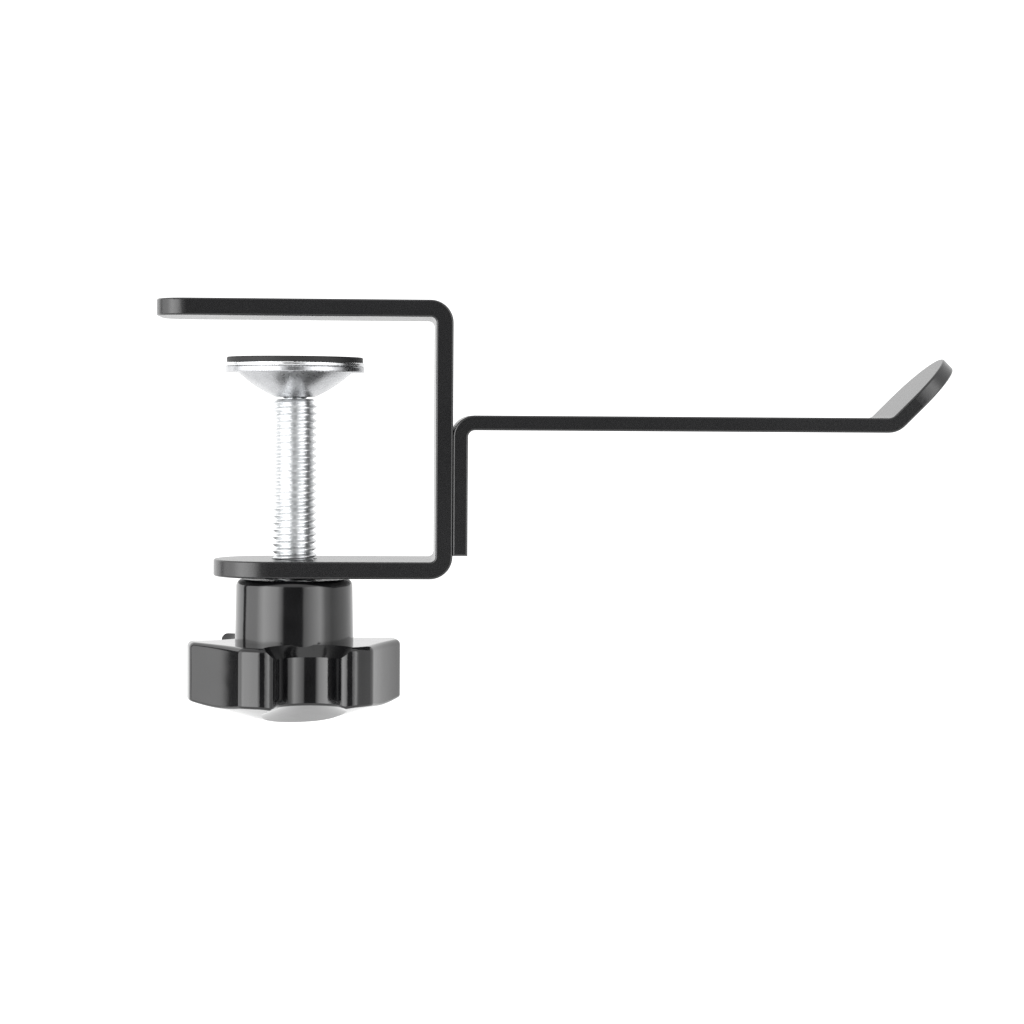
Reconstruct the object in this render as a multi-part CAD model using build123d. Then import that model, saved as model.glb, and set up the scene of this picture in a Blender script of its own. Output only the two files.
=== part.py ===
from build123d import *
import math
import os

# Under-desk headphone hook: a bent-strip C clamp with an M8 clamping screw, a swivelling
# pressure pad, a star knob, and a strip hook welded to the back of the clamp.
#
# Frame: millimetres, +Z up. The origin is on the underside of the upper jaw, the face that
# rests on the desk, directly above the screw axis. +X points along the hook arm towards its
# upturned tongue, and Y runs across the strip.

# Strip steel; a fully rounded end keeps a narrow flat at its tip
strip_width = 20.0
edge_rounding = 0.35
round_end_flat = 0.1

# Clamp bracket
bracket_thickness = 3.0
bracket_bend_radius = 1.0
jaw_opening = 42.6
spine_from_screw = 24.8
upper_jaw_reach = 23.9
upper_jaw_corner_radius = 5.5
lower_jaw_reach = 14.3

# Hook strip
hook_thickness = 2.6
hook_bend_radius = 1.2
arm_top_below_jaw = 17.0
leg_length = 24.5
arm_length = 77.0
tongue_length = 15.2
tongue_angle = 45.0
tongue_bend_radius = 1.6

# Spot welds that join the hook strip's leg to the back of the clamp
weld_diameter = 5.0
weld_depth = 1.2
weld_count = 3
weld_spacing = 6.4
weld_row_drop = 1.0

# Clamping screw, M8 x 1.25, drawn at its crest diameter; it stops short of the insert floor
screw_diameter = 7.84
screw_clearance = 0.08
screw_end_chamfer = 0.7
screw_end_gap = 1.0
shoulder_below_pad_shell = 0.32

# Ball end of the screw
ball_radius = 3.0
neck_radius = 1.95
ball_clearance = 0.08
neck_clearance = 0.35

# Pressure pad: rubber face, steel plate and conical steel shell
pad_top = -6.93
rubber_thickness = 0.95
rubber_radius = 12.0
rubber_edge_rounding = 0.2
plate_thickness = 0.7
pad_radius = 12.25
pad_edge_rounding = 0.22
flange_thickness = 1.05
cone_top_radius = 10.0
cone_bottom_radius = 3.5
cone_height = 4.3
cone_bulge = 0.35
shell_wall_at_top = 1.6
seat_entry_height = 0.4
seat_entry_widening = 0.02

# Thrust disc between the ball end and the pad plate
thrust_disc_radius = 2.4
thrust_disc_thickness = 0.6
thrust_disc_gap = 0.35

# Star knob
knob_gap = 0.5
hub_top_radius = 10.3
hub_bottom_radius = 10.5
hub_length = 10.9
hub_rounding = 1.3
star_radius = 18.9
star_height = 10.3
star_top_rounding = 1.0
star_bottom_rounding = 0.5
lobe_count = 3
lobe_turn = -49.5
lobe_end_radius = 75.0
lobe_end_distance = 17.1
lobe_corner_radius = 2.4
scallop_radius = 5.9
scallop_centre_radius = 18.0
scallop_top_chamfer = 2.0
scallop_bottom_slope = 22.0
dome_slope = 16.5
dome_crown_radius = 30.0

# Threaded insert moulded into the knob
insert_radius = 5.6
insert_length = 14.8
insert_floor = 1.0
insert_recess = 1.2
insert_groove_width = 1.6
insert_groove_depth = 0.6
insert_groove_count = 3
insert_thread_clearance = 0.03

# How near an edge or corner has to lie to a level or line to count as being on it
matching_distance = 0.01

# Levels and places worked out from the sizes above
half_width = strip_width / 2
lower_jaw_top = -jaw_opening
lower_jaw_bottom = lower_jaw_top - bracket_thickness
spine_back = spine_from_screw + bracket_thickness
arm_top = -arm_top_below_jaw
leg_bottom = arm_top - leg_length
tongue_corner = spine_back + arm_length

plate_top = pad_top - rubber_thickness
flange_top = plate_top - plate_thickness
cone_top = flange_top - flange_thickness
cone_bottom = cone_top - cone_height
seat_radius = ball_radius + ball_clearance
mouth_radius = neck_radius + neck_clearance
ball_centre = cone_bottom + math.sqrt(seat_radius ** 2 - mouth_radius ** 2)
screw_shoulder = cone_bottom - shoulder_below_pad_shell
thrust_disc_bottom = flange_top - thrust_disc_gap - thrust_disc_thickness
ball_flat_height = thrust_disc_bottom - ball_centre
screw_radius = screw_diameter / 2

knob_top = lower_jaw_bottom - knob_gap
insert_top = knob_top - insert_recess
insert_bottom = insert_top - insert_length

# Levels of the star, measured from the top of the knob
star_top = -hub_length
star_bottom = star_top - star_height


def side_strip(points, radii):
    """Solid strip: a closed side outline in XZ, its corners rounded, as wide as the steel."""
    with BuildPart() as strip:
        with BuildSketch(Plane.XZ) as outline:
            with BuildLine():
                Polyline(*points, close=True)
            make_face()
            for point, radius in radii:
                corner = outline.vertices().sort_by_distance(Vector(*point))[0]
                fillet(corner, radius)
        extrude(amount=half_width, both=True)
    return strip.part


def round_tip(part, near, radius):
    """Round the two corners of a strip end that lie nearest to a point, across its width."""
    ends = part.edges().filter_by(GeomType.LINE)
    ends = ends.filter_by(lambda edge: abs(abs(edge.center().Y) - half_width) < matching_distance)
    corners = ends.sort_by_distance(Vector(near[0], 0, near[1]))[0:2]
    return fillet(corners, radius)


def soften(part):
    """Take the sharpness off the long edges of a strip, as deburring does."""
    sides = part.faces().filter_by(Axis.Y)
    return fillet(sides.edges(), edge_rounding)


def turned(points):
    """Solid of revolution about the screw axis from (radius, height) points."""
    with BuildPart() as body:
        with BuildSketch(Plane.XZ):
            with BuildLine():
                Polyline(*points, close=True)
            make_face()
        revolve(axis=Axis.Z)
    return body.part


def weld_nuggets():
    """Spot-weld nuggets across the joint face between the clamp spine and the hook leg."""
    nuggets = []
    first = leg_bottom + (leg_length - (weld_count - 1) * weld_spacing) / 2 - weld_row_drop
    for index in range(weld_count):
        height = first + index * weld_spacing
        disc = Cylinder(weld_diameter / 2, 2 * weld_depth, rotation=(0, 90, 0))
        nuggets.append(Pos(spine_back, 0, height) * disc)
    return nuggets


def clamp_bracket():
    """C-shaped clamp bent from flat strip, with the tapped hole for the screw."""
    outer = bracket_bend_radius + bracket_thickness
    points = [
        (-upper_jaw_reach, 0),
        (-upper_jaw_reach, bracket_thickness),
        (spine_back, bracket_thickness),
        (spine_back, lower_jaw_bottom),
        (-lower_jaw_reach, lower_jaw_bottom),
        (-lower_jaw_reach, lower_jaw_top),
        (spine_from_screw, lower_jaw_top),
        (spine_from_screw, 0),
    ]
    radii = [
        (points[2], outer),
        (points[3], outer),
        (points[6], bracket_bend_radius),
        (points[7], bracket_bend_radius),
    ]
    body = side_strip(points, radii)
    upper_end = (-upper_jaw_reach, bracket_thickness / 2)
    lower_end = (-lower_jaw_reach, lower_jaw_top - bracket_thickness / 2)
    body = round_tip(body, upper_end, upper_jaw_corner_radius)
    body = round_tip(body, lower_end, (strip_width - round_end_flat) / 2)
    hole_radius = screw_radius + screw_clearance
    hole_middle = (lower_jaw_top + lower_jaw_bottom) / 2
    hole = Pos(0, 0, hole_middle) * Cylinder(hole_radius, 2 * bracket_thickness)
    return body - hole


def hook_arm():
    """Flat strip bent into a leg, a long level arm and an upturned rounded tongue."""
    slope = math.radians(tongue_angle)
    tip_top = (
        tongue_corner + tongue_length * math.cos(slope),
        arm_top + tongue_length * math.sin(slope),
    )
    tip_bottom = (
        tip_top[0] + hook_thickness * math.sin(slope),
        tip_top[1] - hook_thickness * math.cos(slope),
    )
    outer_corner = tongue_corner + hook_thickness * math.tan(slope / 2)
    leg_front = spine_back + hook_thickness
    arm_bottom = arm_top - hook_thickness
    points = [
        (spine_back, leg_bottom),
        (spine_back, arm_top),
        (tongue_corner, arm_top),
        tip_top,
        tip_bottom,
        (outer_corner, arm_bottom),
        (leg_front, arm_bottom),
        (leg_front, leg_bottom),
    ]
    radii = [
        (points[1], hook_bend_radius + hook_thickness),
        (points[2], tongue_bend_radius),
        (points[5], tongue_bend_radius + hook_thickness),
        (points[6], hook_bend_radius),
    ]
    body = side_strip(points, radii)
    tip = ((tip_top[0] + tip_bottom[0]) / 2, (tip_top[1] + tip_bottom[1]) / 2)
    return round_tip(body, tip, (strip_width - round_end_flat) / 2)


def clamp_screw():
    """Threaded rod with a necked ball end that turns inside the pad shell."""
    flat_radius = math.sqrt(ball_radius ** 2 - ball_flat_height ** 2)
    neck_joint = ball_centre - math.sqrt(ball_radius ** 2 - neck_radius ** 2)
    screw_end = insert_bottom + insert_floor + screw_end_gap
    with BuildPart() as body:
        with BuildSketch(Plane.XZ):
            with BuildLine():
                Polyline(
                    (neck_radius, neck_joint),
                    (neck_radius, screw_shoulder),
                    (screw_radius - screw_end_chamfer, screw_shoulder),
                    (screw_radius, screw_shoulder - screw_end_chamfer),
                    (screw_radius, screw_end + screw_end_chamfer),
                    (screw_radius - screw_end_chamfer, screw_end),
                    (0, screw_end),
                    (0, thrust_disc_bottom),
                    (flat_radius, thrust_disc_bottom),
                )
                ThreePointArc(
                    (flat_radius, thrust_disc_bottom),
                    (ball_radius, ball_centre),
                    (neck_radius, neck_joint),
                )
            make_face()
        revolve(axis=Axis.Z)
    return body.part


def thrust_disc():
    """Hardened disc that rides on the flat of the ball end under the pad plate."""
    middle = thrust_disc_bottom + thrust_disc_thickness / 2
    return Pos(0, 0, middle) * Cylinder(thrust_disc_radius, thrust_disc_thickness)


def pad_shell():
    """Conical steel shell that holds the ball end, with a flat flange under the plate."""
    half_turn = math.asin((ball_centre - cone_bottom) / seat_radius) / 2
    seat_middle = (
        seat_radius * math.cos(half_turn),
        ball_centre - seat_radius * math.sin(half_turn),
    )
    slope = Vector(cone_top_radius - cone_bottom_radius, cone_height)
    bulge = Vector(slope.Y, -slope.X).normalized() * cone_bulge
    cone_middle = (
        (cone_top_radius + cone_bottom_radius) / 2 + bulge.X,
        (cone_top + cone_bottom) / 2 + bulge.Y,
    )
    cavity_radius = cone_top_radius - shell_wall_at_top
    with BuildPart() as body:
        with BuildSketch(Plane.XZ) as outline:
            with BuildLine():
                Polyline(
                    (cone_top_radius, cone_top),
                    (pad_radius, cone_top),
                    (pad_radius, flange_top),
                    (cavity_radius, flange_top),
                    (seat_radius + seat_entry_widening, ball_centre + seat_entry_height),
                    (seat_radius, ball_centre),
                )
                ThreePointArc((seat_radius, ball_centre), seat_middle, (mouth_radius, cone_bottom))
                Line((mouth_radius, cone_bottom), (cone_bottom_radius, cone_bottom))
                ThreePointArc(
                    (cone_bottom_radius, cone_bottom),
                    cone_middle,
                    (cone_top_radius, cone_top),
                )
            make_face()
            rim = outline.vertices().filter_by(lambda point: point.X > pad_radius - matching_distance)
            fillet(rim, pad_edge_rounding)
        revolve(axis=Axis.Z)
    return body.part


def pad_plate():
    """Flat steel disc that closes the shell and backs the rubber."""
    disc = Pos(0, 0, plate_top - plate_thickness / 2) * Cylinder(pad_radius, plate_thickness)
    return fillet(disc.edges(), pad_edge_rounding)


def pad_rubber():
    """Rubber face that presses on the desk's underside."""
    disc = Pos(0, 0, pad_top - rubber_thickness / 2) * Cylinder(rubber_radius, rubber_thickness)
    return fillet(disc.edges().group_by(Axis.Z)[-1], rubber_edge_rounding)


def scallop_start():
    """Angle of the first scallop, half a pitch past the first lobe."""
    return lobe_turn - 90 + 180 / lobe_count


def star_prism():
    """Star outline: three broad lobes with slightly hollow ends and deep scallops between."""
    prism_height = 2 * star_height
    with BuildPart() as star:
        with BuildSketch(Plane.XY.offset(star_top)):
            Circle(star_radius)
            with PolarLocations(scallop_centre_radius, lobe_count, start_angle=scallop_start()):
                Circle(scallop_radius, mode=Mode.SUBTRACT)
            with PolarLocations(
                lobe_end_distance + lobe_end_radius, lobe_count, start_angle=lobe_turn - 90
            ):
                Circle(lobe_end_radius, mode=Mode.SUBTRACT)
        extrude(amount=-prism_height)
        fillet(star.edges().filter_by(Axis.Z), lobe_corner_radius)
        fillet(star.faces().sort_by(Axis.Z)[-1].edges(), star_top_rounding)
    return star.part


def dome_envelope():
    """Turned envelope of the star: flat above, a shallow dome with a rounded crown below."""
    slope = math.radians(dome_slope)
    crown_edge = dome_crown_radius * math.sin(slope)
    crown_top = star_bottom - (star_radius - crown_edge) * math.tan(slope)
    apex = crown_top - dome_crown_radius * (1 - math.cos(slope))
    crown_middle = (
        dome_crown_radius * math.sin(slope / 2),
        apex + dome_crown_radius * (1 - math.cos(slope / 2)),
    )
    with BuildPart() as head:
        with BuildSketch(Plane.XZ):
            with BuildLine():
                Polyline(
                    (crown_edge, crown_top),
                    (star_radius, star_bottom),
                    (star_radius, star_top),
                    (0, star_top),
                    (0, apex),
                )
                ThreePointArc((0, apex), crown_middle, (crown_edge, crown_top))
            make_face()
        revolve(axis=Axis.Z)
    return head.part


def wall_foot(shape):
    """Edges where the upright wall of the star meets its underside."""
    lowest = star_bottom - (star_radius - lobe_end_distance)
    return shape.edges().filter_by(
        lambda edge: edge.bounding_box().min.Z > lowest
        and edge.bounding_box().max.Z < star_bottom + matching_distance
    )


def knob_body():
    """Moulded star knob: long hub on a three-lobed head with a shallow domed end."""
    shape = dome_envelope() & star_prism()
    sink_drop = math.tan(math.radians(scallop_bottom_slope))
    sink_height = 2 * scallop_radius * sink_drop
    top_sink = Cone(scallop_radius, scallop_radius + 2 * scallop_top_chamfer, 2 * scallop_top_chamfer)
    bottom_sink = Cone(3 * scallop_radius, scallop_radius, sink_height)
    for index in range(lobe_count):
        angle = math.radians(scallop_start() + index * 360 / lobe_count)
        x = scallop_centre_radius * math.cos(angle)
        y = scallop_centre_radius * math.sin(angle)
        shape -= Pos(x, y, star_top) * top_sink
        shape -= Pos(x, y, star_bottom - sink_height / 2) * bottom_sink
    shape = fillet(wall_foot(shape), star_bottom_rounding)
    hub = turned([
        (0, star_top - star_top_rounding),
        (hub_bottom_radius, star_top - star_top_rounding),
        (hub_bottom_radius, star_top),
        (hub_top_radius, 0),
        (0, 0),
    ])
    hub = fillet(hub.edges().group_by(Axis.Z)[-1], hub_rounding)
    return Pos(0, 0, knob_top) * (shape + hub) - insert_envelope()


def insert_envelope():
    """Outer shape of the insert with its recess above, which the knob is moulded round."""
    recess = Pos(0, 0, insert_top + insert_recess) * Cylinder(insert_radius, 2 * insert_recess)
    return insert_solid() + recess


def insert_solid():
    """Cylinder with retaining grooves, before it is bored for the screw."""
    body = Pos(0, 0, insert_bottom + insert_length / 2) * Cylinder(insert_radius, insert_length)
    pitch = insert_length / (insert_groove_count + 1)
    ring = Cylinder(2 * insert_radius, insert_groove_width)
    ring -= Cylinder(insert_radius - insert_groove_depth, insert_groove_width)
    for index in range(insert_groove_count):
        body -= Pos(0, 0, insert_top - pitch * (index + 1)) * ring
    return body


def knob_insert():
    """Metal insert, blind at its lower end, which the screw is locked into."""
    depth = insert_length - insert_floor
    bore_radius = screw_radius + insert_thread_clearance
    bore = Pos(0, 0, insert_top - depth / 2) * Cylinder(bore_radius, depth)
    return insert_solid() - bore


welds = weld_nuggets()
parts = {
    "clamp_bracket": soften(clamp_bracket()) - Compound(children=welds),
    "hook_arm": soften(hook_arm()) - Compound(children=welds),
    "spot_welds": Compound(children=weld_nuggets()),
    "clamp_screw": clamp_screw(),
    "thrust_disc": thrust_disc(),
    "pad_shell": pad_shell(),
    "pad_plate": pad_plate(),
    "pad_rubber": pad_rubber(),
    "knob_body": knob_body(),
    "knob_insert": knob_insert(),
}

os.makedirs("parts", exist_ok=True)
for name, shape in parts.items():
    export_step(shape, f"parts/{name}.step")
    print(name, round(shape.volume, 1))
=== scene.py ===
import math

import bmesh
import bpy
from bpy.props import FloatProperty, IntProperty, StringProperty
from mathutils import Matrix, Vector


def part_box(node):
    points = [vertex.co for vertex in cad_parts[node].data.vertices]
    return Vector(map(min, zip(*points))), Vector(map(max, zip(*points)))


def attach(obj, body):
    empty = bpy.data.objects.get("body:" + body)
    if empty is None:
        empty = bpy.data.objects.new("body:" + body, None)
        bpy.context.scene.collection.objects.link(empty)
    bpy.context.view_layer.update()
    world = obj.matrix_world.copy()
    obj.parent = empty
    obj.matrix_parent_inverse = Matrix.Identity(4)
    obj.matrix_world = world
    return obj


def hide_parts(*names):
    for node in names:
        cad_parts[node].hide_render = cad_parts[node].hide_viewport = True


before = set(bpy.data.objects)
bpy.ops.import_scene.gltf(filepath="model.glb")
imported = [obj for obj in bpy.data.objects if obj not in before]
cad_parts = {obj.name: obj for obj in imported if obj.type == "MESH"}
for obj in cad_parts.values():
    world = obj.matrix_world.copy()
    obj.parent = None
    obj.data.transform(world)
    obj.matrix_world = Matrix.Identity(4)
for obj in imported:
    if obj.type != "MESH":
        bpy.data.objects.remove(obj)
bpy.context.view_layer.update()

bl_info = {
    "name": "Clamp-on Headphone Hook",
    "version": (1, 0, 0),
    "blender": (4, 5, 0),
    "location": "View3D > Sidebar > Headphone Hook",
    "description": "Finishes a desk-clamp headphone hook and its studio around its CAD frame",
    "category": "Object",
}

MM = 0.001
SCREW_LOW, SCREW_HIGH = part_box("clamp_screw")
SHELL_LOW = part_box("pad_shell")[0]

# Camera, in metres and degrees
CAMERA_PLACE = (0.0169, -0.430, -0.0179)
CAMERA_YAW = -2.89
CAMERA_PITCH = -2.16
CAMERA_ROLL = 0.37
CAMERA_LENS_MM = 85
CAMERA_SENSOR_MM = 36

# Studio: the ring of lights by degrees round from behind the camera, and where it fades out by height
BRIGHTEST = 7.0
PLAIN_LIGHT = 1.35
PANELS = [
    (-180, 1.3), (-120, 2.2), (-117, 2.2), (-115, 0.1), (-108, 0.1), (-106, 2.4), (-76, 3.4),
    (-60, 6.9), (-50, 6.3), (-32, 4.9), (-22, 1.9), (-18, 0.15), (18, 0.15), (21, 1.9),
    (36, 3.5), (54, 5.6), (66, 2.2), (80, 1.2), (100, 1.4), (180, 1.3),
]
PANEL_HEIGHTS = [(0.0, 0.0), (0.2, 0.0), (0.3, 1.0), (0.72, 1.0), (0.85, 0.0), (1.0, 0.0)]
FLOOR_CENTRE = (0.04, 0, -0.18)
FLOOR_RADIUS = 0.6

# Screw: each tooth corner as a share of the thread's depth and of its pitch
TOOTH = [
    (0.0, 0.0), (0.0, 0.10), (0.1, 0.16), (0.94, 0.49),
    (1.0, 0.53), (1.0, 0.62), (0.94, 0.66), (0.1, 0.97),
]
SHOULDER_BELOW_SHELL = 0.32 * MM
END_CHAMFER = 0.7 * MM
BALL_CENTRE_BELOW_TOP = 2.35 * MM
NECK_SUNK_IN_SHOULDER = 0.5 * MM
BALL_ARC_STEPS = 16
BALL_TURN_STEPS = 64


# Colour and node helpers


def linear(code):
    """sRGB hex code as linear red, green, blue and alpha."""
    channels = []
    for start in (1, 3, 5):
        value = int(code[start:start + 2], 16) / 255
        value = value / 12.92 if value <= 0.04045 else ((value + 0.055) / 1.055) ** 2.4
        channels.append(value)
    return (*channels, 1.0)


def add(tree, kind, settings=None, **inputs):
    """A node of a kind with its settings, and its inputs set to values or linked to outputs."""
    node = tree.nodes.new(kind)
    for name, value in (settings or {}).items():
        setattr(node, name, value)
    for name, value in inputs.items():
        key = int(name[1:]) if name[1:].isdigit() else name.replace("_", " ")
        socket = node.inputs[key]
        if isinstance(value, bpy.types.NodeSocket):
            tree.links.new(value, socket)
        else:
            socket.default_value = value
    return node


def new_material(name):
    """An empty material's node tree, its shader and the object's own coordinates."""
    material = bpy.data.materials.new(name)
    material.use_nodes = True
    tree = material.node_tree
    tree.nodes.clear()
    shader = add(tree, "ShaderNodeBsdfPrincipled")
    output = add(tree, "ShaderNodeOutputMaterial")
    tree.links.new(shader.outputs["BSDF"], output.inputs["Surface"])
    place = add(tree, "ShaderNodeTexCoord").outputs["Object"]
    return material, tree, shader, place


def ramp(tree, factor, stops):
    """Colour ramp of grey or colour stops: (position, value or hex code)."""
    node = add(tree, "ShaderNodeValToRGB", None, Fac=factor)
    elements = node.color_ramp.elements
    while len(elements) < len(stops):
        elements.new(0.5)
    for element, (position, value) in zip(elements, stops):
        element.position = position
        element.color = linear(value) if isinstance(value, str) else (value, value, value, 1.0)
    return node.outputs["Color"]


def grain(tree, place, size_mm, detail=3.0, roughness=0.5):
    """Noise whose features are about size_mm across."""
    noise = add(tree, "ShaderNodeTexNoise", None, Vector=place, Scale=1 / (size_mm * MM),
                Detail=detail, Roughness=roughness)
    return noise.outputs["Fac"]


def bump(tree, height, depth_mm, normal=None):
    """Bump of a height from 0 to 1 over depth_mm."""
    node = add(tree, "ShaderNodeBump", None, Height=height, Distance=depth_mm * MM, Strength=1.0)
    if normal is not None:
        tree.links.new(normal, node.inputs["Normal"])
    return node.outputs["Normal"]


# Materials, each named for the real finish, save the pad pressing's zinc, whose darker colour is painted
# shade


def powder_coat(colour):
    """Satin black powder coat on bent steel strip: fine orange peel and a low even sheen."""
    material, tree, shader, place = new_material("satin_black_powder_coat")
    peel = grain(tree, place, 0.55, 2.0)
    speck = grain(tree, place, 0.16, 2.0, 0.6)
    cloud = grain(tree, place, 14.0, 3.0)
    shade = ramp(tree, cloud, [(0.3, colour), (0.75, "#131314")])
    tree.links.new(shade, shader.inputs["Base Color"])
    sheen = ramp(tree, speck, [(0.3, 0.22), (0.7, 0.30)])
    tree.links.new(sheen, shader.inputs["Roughness"])
    normal = bump(tree, peel, 0.012)
    normal = bump(tree, speck, 0.002, normal)
    tree.links.new(normal, shader.inputs["Normal"])
    shader.inputs["IOR"].default_value = 1.5
    return material


def bright_zinc(name, colour, lighter, roughness):
    """Bright zinc plate on turned or pressed steel: near-mirror, with faint clouding and fine marks."""
    material, tree, shader, place = new_material(name)
    shader.inputs["Metallic"].default_value = 1.0
    cloud = grain(tree, place, 3.5, 4.0)
    shade = ramp(tree, cloud, [(0.25, colour), (0.8, lighter)])
    tree.links.new(shade, shader.inputs["Base Color"])
    marks = grain(tree, place, 0.5, 4.0, 0.7)
    rough = ramp(tree, marks, [(0.3, roughness), (0.75, roughness + 0.12)])
    tree.links.new(rough, shader.inputs["Roughness"])
    tree.links.new(bump(tree, marks, 0.004), shader.inputs["Normal"])
    return material


def black_rubber(colour):
    """Matt black rubber pad with a fine moulded grain."""
    material, tree, shader, place = new_material("matt_black_rubber")
    texture = grain(tree, place, 0.25, 4.0, 0.65)
    shade = ramp(tree, texture, [(0.3, colour), (0.8, "#151516")])
    tree.links.new(shade, shader.inputs["Base Color"])
    tree.links.new(bump(tree, texture, 0.03), shader.inputs["Normal"])
    shader.inputs["Roughness"].default_value = 0.6
    shader.inputs["IOR"].default_value = 1.4
    return material


def moulded_plastic(colour):
    """Glossy injection-moulded black plastic: near-mirror, with the faint waviness of a polished mould."""
    material, tree, shader, place = new_material("glossy_black_moulded_plastic")
    wave = grain(tree, place, 5.0, 1.0)
    scuff = grain(tree, place, 0.3, 3.0, 0.6)
    shade = ramp(tree, wave, [(0.3, colour), (0.8, "#101011")])
    tree.links.new(shade, shader.inputs["Base Color"])
    rough = ramp(tree, scuff, [(0.35, 0.09), (0.75, 0.13)])
    tree.links.new(rough, shader.inputs["Roughness"])
    normal = bump(tree, wave, 0.03)
    normal = bump(tree, scuff, 0.0006, normal)
    tree.links.new(normal, shader.inputs["Normal"])
    shader.inputs["IOR"].default_value = 1.5
    return material


def turned_metal(name, dark, light):
    """Plain turned metal with fine lathe lines round its axis."""
    material, tree, shader, place = new_material(name)
    shader.inputs["Metallic"].default_value = 1.0
    lines = add(tree, "ShaderNodeTexWave", {"bands_direction": "Z"}, Vector=place, Scale=1 / (1.2 * MM),
                Distortion=0.6, Detail=2.0).outputs["Fac"]
    shade = ramp(tree, lines, [(0.2, dark), (0.8, light)])
    tree.links.new(shade, shader.inputs["Base Color"])
    shader.inputs["Roughness"].default_value = 0.3
    tree.links.new(bump(tree, lines, 0.01), shader.inputs["Normal"])
    return material


def floor_paint():
    """Matt white studio floor with a barely visible roller texture."""
    material, tree, shader, place = new_material("matt_white_studio_paint")
    texture = grain(tree, place, 6.0, 3.0)
    shade = ramp(tree, texture, [(0.3, "#f4f4f4"), (0.8, "#fafafa")])
    tree.links.new(shade, shader.inputs["Base Color"])
    tree.links.new(bump(tree, texture, 0.05), shader.inputs["Normal"])
    shader.inputs["Roughness"].default_value = 0.9
    return material


def finish_node(name, material):
    """Give a CAD node its material in place of any it has."""
    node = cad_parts[name]
    node.data.materials.clear()
    node.data.materials.append(material)


# Mesh helpers


def object_from(bm, name, material, smooth_angle=35.0):
    """A finished object at the origin from a bmesh, with its material."""
    mesh = bpy.data.meshes.new(name)
    bm.to_mesh(mesh)
    bm.free()
    mesh.materials.append(material)
    mesh.shade_smooth()
    mesh.set_sharp_from_angle(angle=math.radians(smooth_angle))
    obj = bpy.data.objects.new(name, mesh)
    bpy.context.scene.collection.objects.link(obj)
    return obj


def polyline(bm, points):
    """A chain of edges through (radius, height) points in the XZ plane."""
    verts = [bm.verts.new((radius, 0, height)) for radius, height in points]
    edges = [bm.edges.new(pair) for pair in zip(verts, verts[1:])]
    return verts + edges


def turn(bm, points, steps):
    """A closed turned shape from a profile that starts and ends on the screw axis."""
    geometry = polyline(bm, points)
    bmesh.ops.spin(bm, geom=geometry, cent=(0, 0, 0), axis=(0, 0, 1), dvec=(0, 0, 0),
                   angle=2 * math.pi, steps=steps, use_merge=True)
    bmesh.ops.remove_doubles(bm, verts=bm.verts, dist=1e-7)


class HookSizes(bpy.types.PropertyGroup):
    thread_pitch: FloatProperty(
        name="Thread pitch", description="Height that the screw climbs in one turn",
        default=1.25 * MM, unit="LENGTH")
    thread_depth: FloatProperty(
        name="Thread depth", description="From the thread's crest to its root",
        default=0.72 * MM, unit="LENGTH")
    thread_steps: IntProperty(
        name="Steps per turn", description="Flat steps in one turn of the thread",
        default=72, min=24, max=144)
    ball_radius: FloatProperty(
        name="Ball radius", description="Radius of the screw's ball end",
        default=3.0 * MM, unit="LENGTH")
    neck_radius: FloatProperty(
        name="Neck radius", description="Radius of the neck under the ball",
        default=1.95 * MM, unit="LENGTH")


class HookColours(bpy.types.PropertyGroup):
    coat: StringProperty(
        name="Powder coat", description="Colour of the bracket and the hook, as an sRGB hex code",
        default="#0e0e0f")
    zinc: StringProperty(
        name="Zinc plate", description="Colour of the screw and the pad, as an sRGB hex code",
        default="#c2c4c5")
    rubber: StringProperty(
        name="Rubber", description="Colour of the pad's face, as an sRGB hex code",
        default="#0c0c0c")
    plastic: StringProperty(
        name="Knob plastic", description="Colour of the knob, as an sRGB hex code",
        default="#070708")


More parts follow.
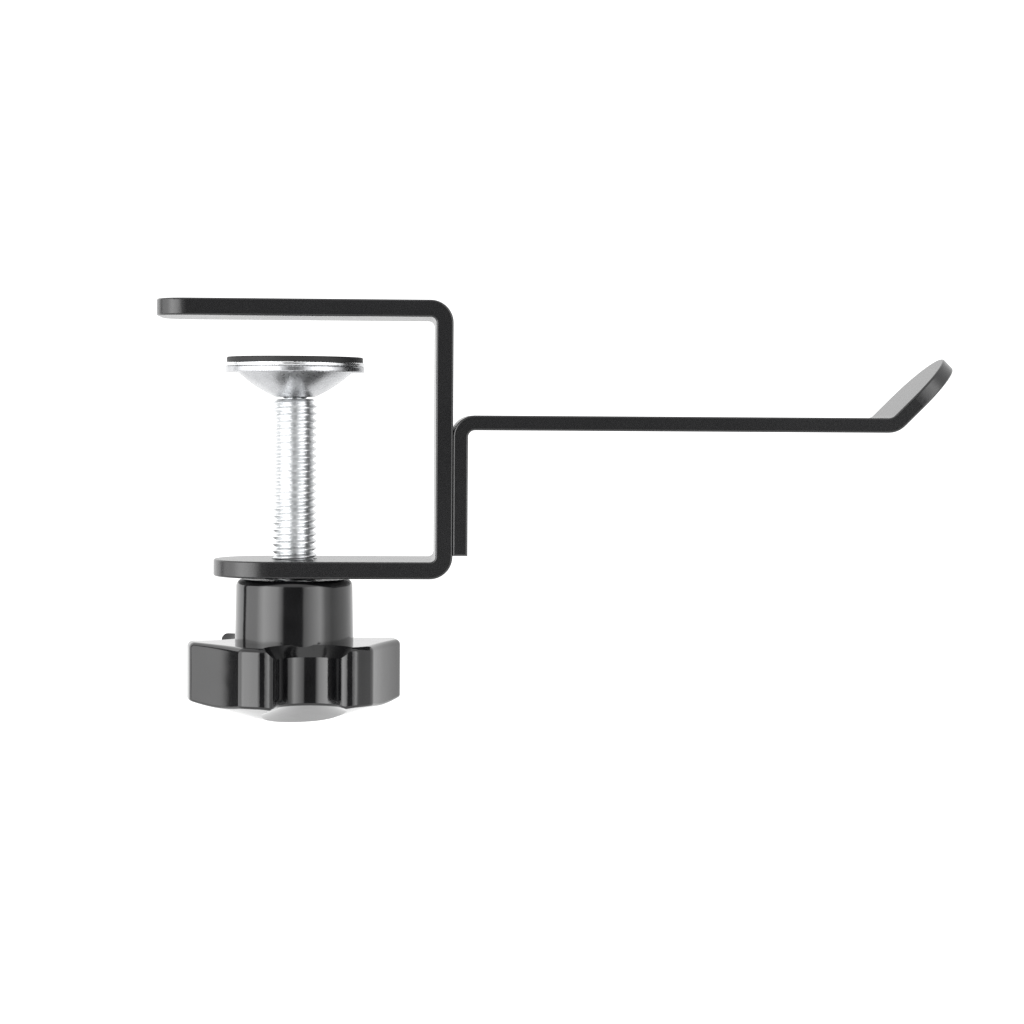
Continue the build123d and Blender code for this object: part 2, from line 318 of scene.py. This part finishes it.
class HOOK_OT_stage(bpy.types.Operator):
    """Camera, studio surroundings and floor"""

    bl_idname = "hook.stage"
    bl_label = "Studio stage"

    def execute(self, context):
        scene = context.scene
        camera = bpy.data.cameras.new("camera")
        camera.lens = CAMERA_LENS_MM
        camera.sensor_width = CAMERA_SENSOR_MM
        camera.clip_start = 0.01
        camera.clip_end = 20
        holder = bpy.data.objects.new("camera", camera)
        scene.collection.objects.link(holder)
        scene.camera = holder
        facing = Matrix.Rotation(math.radians(CAMERA_YAW), 4, "Z")
        facing @= Matrix.Rotation(math.radians(90 + CAMERA_PITCH), 4, "X")
        facing @= Matrix.Rotation(math.radians(CAMERA_ROLL), 4, "Z")
        holder.matrix_world = Matrix.Translation(CAMERA_PLACE) @ facing
        scene.view_settings.view_transform = "Standard"
        self.surroundings(scene)
        self.floor()
        return {"FINISHED"}

    def surroundings(self, scene):
        """Ring of soft lights seen only in reflections and shading, and a plain pale backdrop."""
        world = bpy.data.worlds.new("studio")
        world.use_nodes = True
        scene.world = world
        tree = world.node_tree
        tree.nodes.clear()
        direction = add(tree, "ShaderNodeTexCoord").outputs["Generated"]
        parts = add(tree, "ShaderNodeSeparateXYZ", None, Vector=direction)
        away = add(tree, "ShaderNodeMath", {"operation": "MULTIPLY"}, _0=parts.outputs["Y"], _1=-1.0)
        turn_angle = add(tree, "ShaderNodeMath", {"operation": "ARCTAN2"}, _0=parts.outputs["X"],
                         _1=away.outputs[0])
        share = add(tree, "ShaderNodeMapRange", None, Value=turn_angle.outputs[0], From_Min=-math.pi,
                    From_Max=math.pi, To_Min=0.0, To_Max=1.0)
        stops = [((angle + 180) / 360, value / BRIGHTEST) for angle, value in PANELS]
        panels = ramp(tree, share.outputs[0], stops)
        rise = add(tree, "ShaderNodeMapRange", None, Value=parts.outputs["Z"], From_Min=-1.0,
                   From_Max=1.0)
        height = ramp(tree, rise.outputs[0], PANEL_HEIGHTS)
        plain = PLAIN_LIGHT / BRIGHTEST
        pale = (plain, plain, plain, 1)
        direct = add(tree, "ShaderNodeLightPath").outputs["Is Camera Ray"]
        room = self.mix(tree, height, pale, panels)
        backdrop = self.mix(tree, direct, room, pale)
        light = add(tree, "ShaderNodeBackground", None, Color=backdrop, Strength=BRIGHTEST)
        output = add(tree, "ShaderNodeOutputWorld")
        tree.links.new(light.outputs[0], output.inputs["Surface"])

    def mix(self, tree, factor, first, second):
        """Colour that goes from first to second; a mix node's colour inputs are 6 and 7."""
        node = add(tree, "ShaderNodeMix", {"data_type": "RGBA"}, Factor=factor, _6=first, _7=second)
        return node.outputs[2]

    def floor(self):
        """A pale round floor well under the hook, clear of the knob at its lowest."""
        bm = bmesh.new()
        bmesh.ops.create_circle(bm, cap_ends=True, segments=128, radius=FLOOR_RADIUS)
        bmesh.ops.translate(bm, verts=bm.verts, vec=FLOOR_CENTRE)
        object_from(bm, "studio_floor", floor_paint())


class HOOK_OT_steelwork(bpy.types.Operator):
    """Powder coat on the clamp bracket and the hook strip, bare steel on their weld nuggets"""

    bl_idname = "hook.steelwork"
    bl_label = "Bracket and hook"

    def execute(self, context):
        coat = powder_coat(context.scene.hook_colours.coat)
        for name in ("clamp_bracket", "hook_arm"):
            finish_node(name, coat)
        finish_node("spot_welds", turned_metal("weld_steel", "#8d8f92", "#a9abad"))
        return {"FINISHED"}


class HOOK_OT_screw(bpy.types.Operator):
    """Clamping screw with its helical thread, neck and ball end"""

    bl_idname = "hook.screw"
    bl_label = "Clamping screw"

    def execute(self, context):
        sizes = context.scene.hook_sizes
        bm = bmesh.new()
        crest = SCREW_HIGH.x
        ball_top = SCREW_HIGH.z
        shoulder = SHELL_LOW.z - SHOULDER_BELOW_SHELL
        self.thread(bm, sizes, crest, SCREW_LOW.z, shoulder)
        self.ball_end(bm, sizes, shoulder, ball_top)
        colour = context.scene.hook_colours.zinc
        zinc = bright_zinc("bright_zinc_plated_thread", colour, "#dadbdc", 0.28)
        screw = object_from(bm, "threaded_screw", zinc, 25.0)
        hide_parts("clamp_screw")
        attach(screw, "screw")
        return {"FINISHED"}

    def thread(self, bm, sizes, crest, low, high):
        """A toothed line spun one turn while it climbs one pitch, then trimmed and chamfered."""
        pitch = sizes.thread_pitch
        root = crest - sizes.thread_depth
        tooth = [(root + rise * sizes.thread_depth, share) for rise, share in TOOTH]
        teeth = math.ceil((high - low) / pitch) + 3
        first = low - 2 * pitch
        points = [(radius, first + (index + share) * pitch)
                  for index in range(teeth) for radius, share in tooth]
        points.append((root, first + teeth * pitch))
        geometry = polyline(bm, points)
        steps = sizes.thread_steps
        bmesh.ops.spin(bm, geom=geometry, cent=(0, 0, 0), axis=(0, 0, 1),
                       dvec=(0, 0, pitch / steps), angle=2 * math.pi, steps=steps)
        bmesh.ops.remove_doubles(bm, verts=bm.verts, dist=1e-6)
        for height, normal in ((low, (0, 0, -1)), (high, (0, 0, 1))):
            bmesh.ops.bisect_plane(bm, geom=bm.verts[:] + bm.edges[:] + bm.faces[:], dist=1e-7,
                                   plane_co=(0, 0, height), plane_no=normal, clear_outer=True)
        for vert in bm.verts:
            radius = math.hypot(vert.co.x, vert.co.y)
            room = min(high - vert.co.z, vert.co.z - low)
            limit = crest - END_CHAMFER + room
            if radius > limit:
                vert.co.x *= limit / radius
                vert.co.y *= limit / radius
        edges = [edge for edge in bm.edges if edge.is_boundary]
        bmesh.ops.holes_fill(bm, edges=edges, sides=0)
        bmesh.ops.recalc_face_normals(bm, faces=bm.faces)

    def ball_end(self, bm, sizes, shoulder, top):
        """Neck and flat-topped ball, turned as one closed shape that starts inside the thread."""
        centre = top - BALL_CENTRE_BELOW_TOP
        ball = sizes.ball_radius
        neck = sizes.neck_radius
        start = -math.acos(neck / ball)
        end = math.asin((top - centre) / ball)
        arc = [start + (end - start) * step / BALL_ARC_STEPS for step in range(BALL_ARC_STEPS + 1)]
        foot = shoulder - NECK_SUNK_IN_SHOULDER
        points = [(0, foot), (neck, foot)]
        points += [(ball * math.cos(angle), centre + ball * math.sin(angle)) for angle in arc]
        points.append((0, top))
        turned = bmesh.new()
        turn(turned, points, BALL_TURN_STEPS)
        bmesh.ops.recalc_face_normals(turned, faces=turned.faces)
        mesh = bpy.data.meshes.new("ball_end")
        turned.to_mesh(mesh)
        turned.free()
        bm.from_mesh(mesh)
        bpy.data.meshes.remove(mesh)


class HOOK_OT_pad(bpy.types.Operator):
    """Zinc plate, rubber and the hidden thrust disc of the pressure pad"""

    bl_idname = "hook.pad"
    bl_label = "Pressure pad"

    def execute(self, context):
        colours = context.scene.hook_colours
        plate = bright_zinc("bright_zinc_plated_disc", colours.zinc, "#dededf", 0.22)
        # The pressing gets the same zinc plate in a darker colour: painted shade for the grey shading of
        # the pad's cone
        shell = bright_zinc("zinc_plated_pressing_painted_shade", "#9c9d9f", "#b9babc", 0.24)
        finish_node("pad_plate", plate)
        finish_node("pad_shell", shell)
        finish_node("pad_rubber", black_rubber(colours.rubber))
        finish_node("thrust_disc", turned_metal("hardened_steel", "#8d8f92", "#a9abad"))
        return {"FINISHED"}


class HOOK_OT_knob(bpy.types.Operator):
    """Glossy plastic on the star knob, turned brass on its insert"""

    bl_idname = "hook.knob"
    bl_label = "Star knob"

    def execute(self, context):
        finish_node("knob_body", moulded_plastic(context.scene.hook_colours.plastic))
        finish_node("knob_insert", turned_metal("turned_brass", "#b08d4a", "#d8b56a"))
        return {"FINISHED"}


OPERATORS = (HOOK_OT_stage, HOOK_OT_steelwork, HOOK_OT_screw, HOOK_OT_pad, HOOK_OT_knob)


class HOOK_PT_panel(bpy.types.Panel):
    """Lists the hook's sizes, colours and pieces"""

    bl_idname = "HOOK_PT_panel"
    bl_label = "Headphone Hook"
    bl_space_type = "VIEW_3D"
    bl_region_type = "UI"
    bl_category = "Headphone Hook"

    def draw(self, context):
        for settings in (context.scene.hook_sizes, context.scene.hook_colours):
            for name in settings.__annotations__:
                self.layout.prop(settings, name)
        for operator in OPERATORS:
            self.layout.operator(operator.bl_idname)


CLASSES = (HookSizes, HookColours, *OPERATORS, HOOK_PT_panel)


def register():
    for item in CLASSES:
        bpy.utils.register_class(item)
    bpy.types.Scene.hook_sizes = bpy.props.PointerProperty(type=HookSizes)
    bpy.types.Scene.hook_colours = bpy.props.PointerProperty(type=HookColours)


def unregister():
    del bpy.types.Scene.hook_colours
    del bpy.types.Scene.hook_sizes
    for item in reversed(CLASSES):
        bpy.utils.unregister_class(item)


def main():
    register()
    bpy.ops.hook.stage()
    bpy.ops.hook.steelwork()
    bpy.ops.hook.screw()
    bpy.ops.hook.pad()
    bpy.ops.hook.knob()


if __name__ == "__main__":
    main()
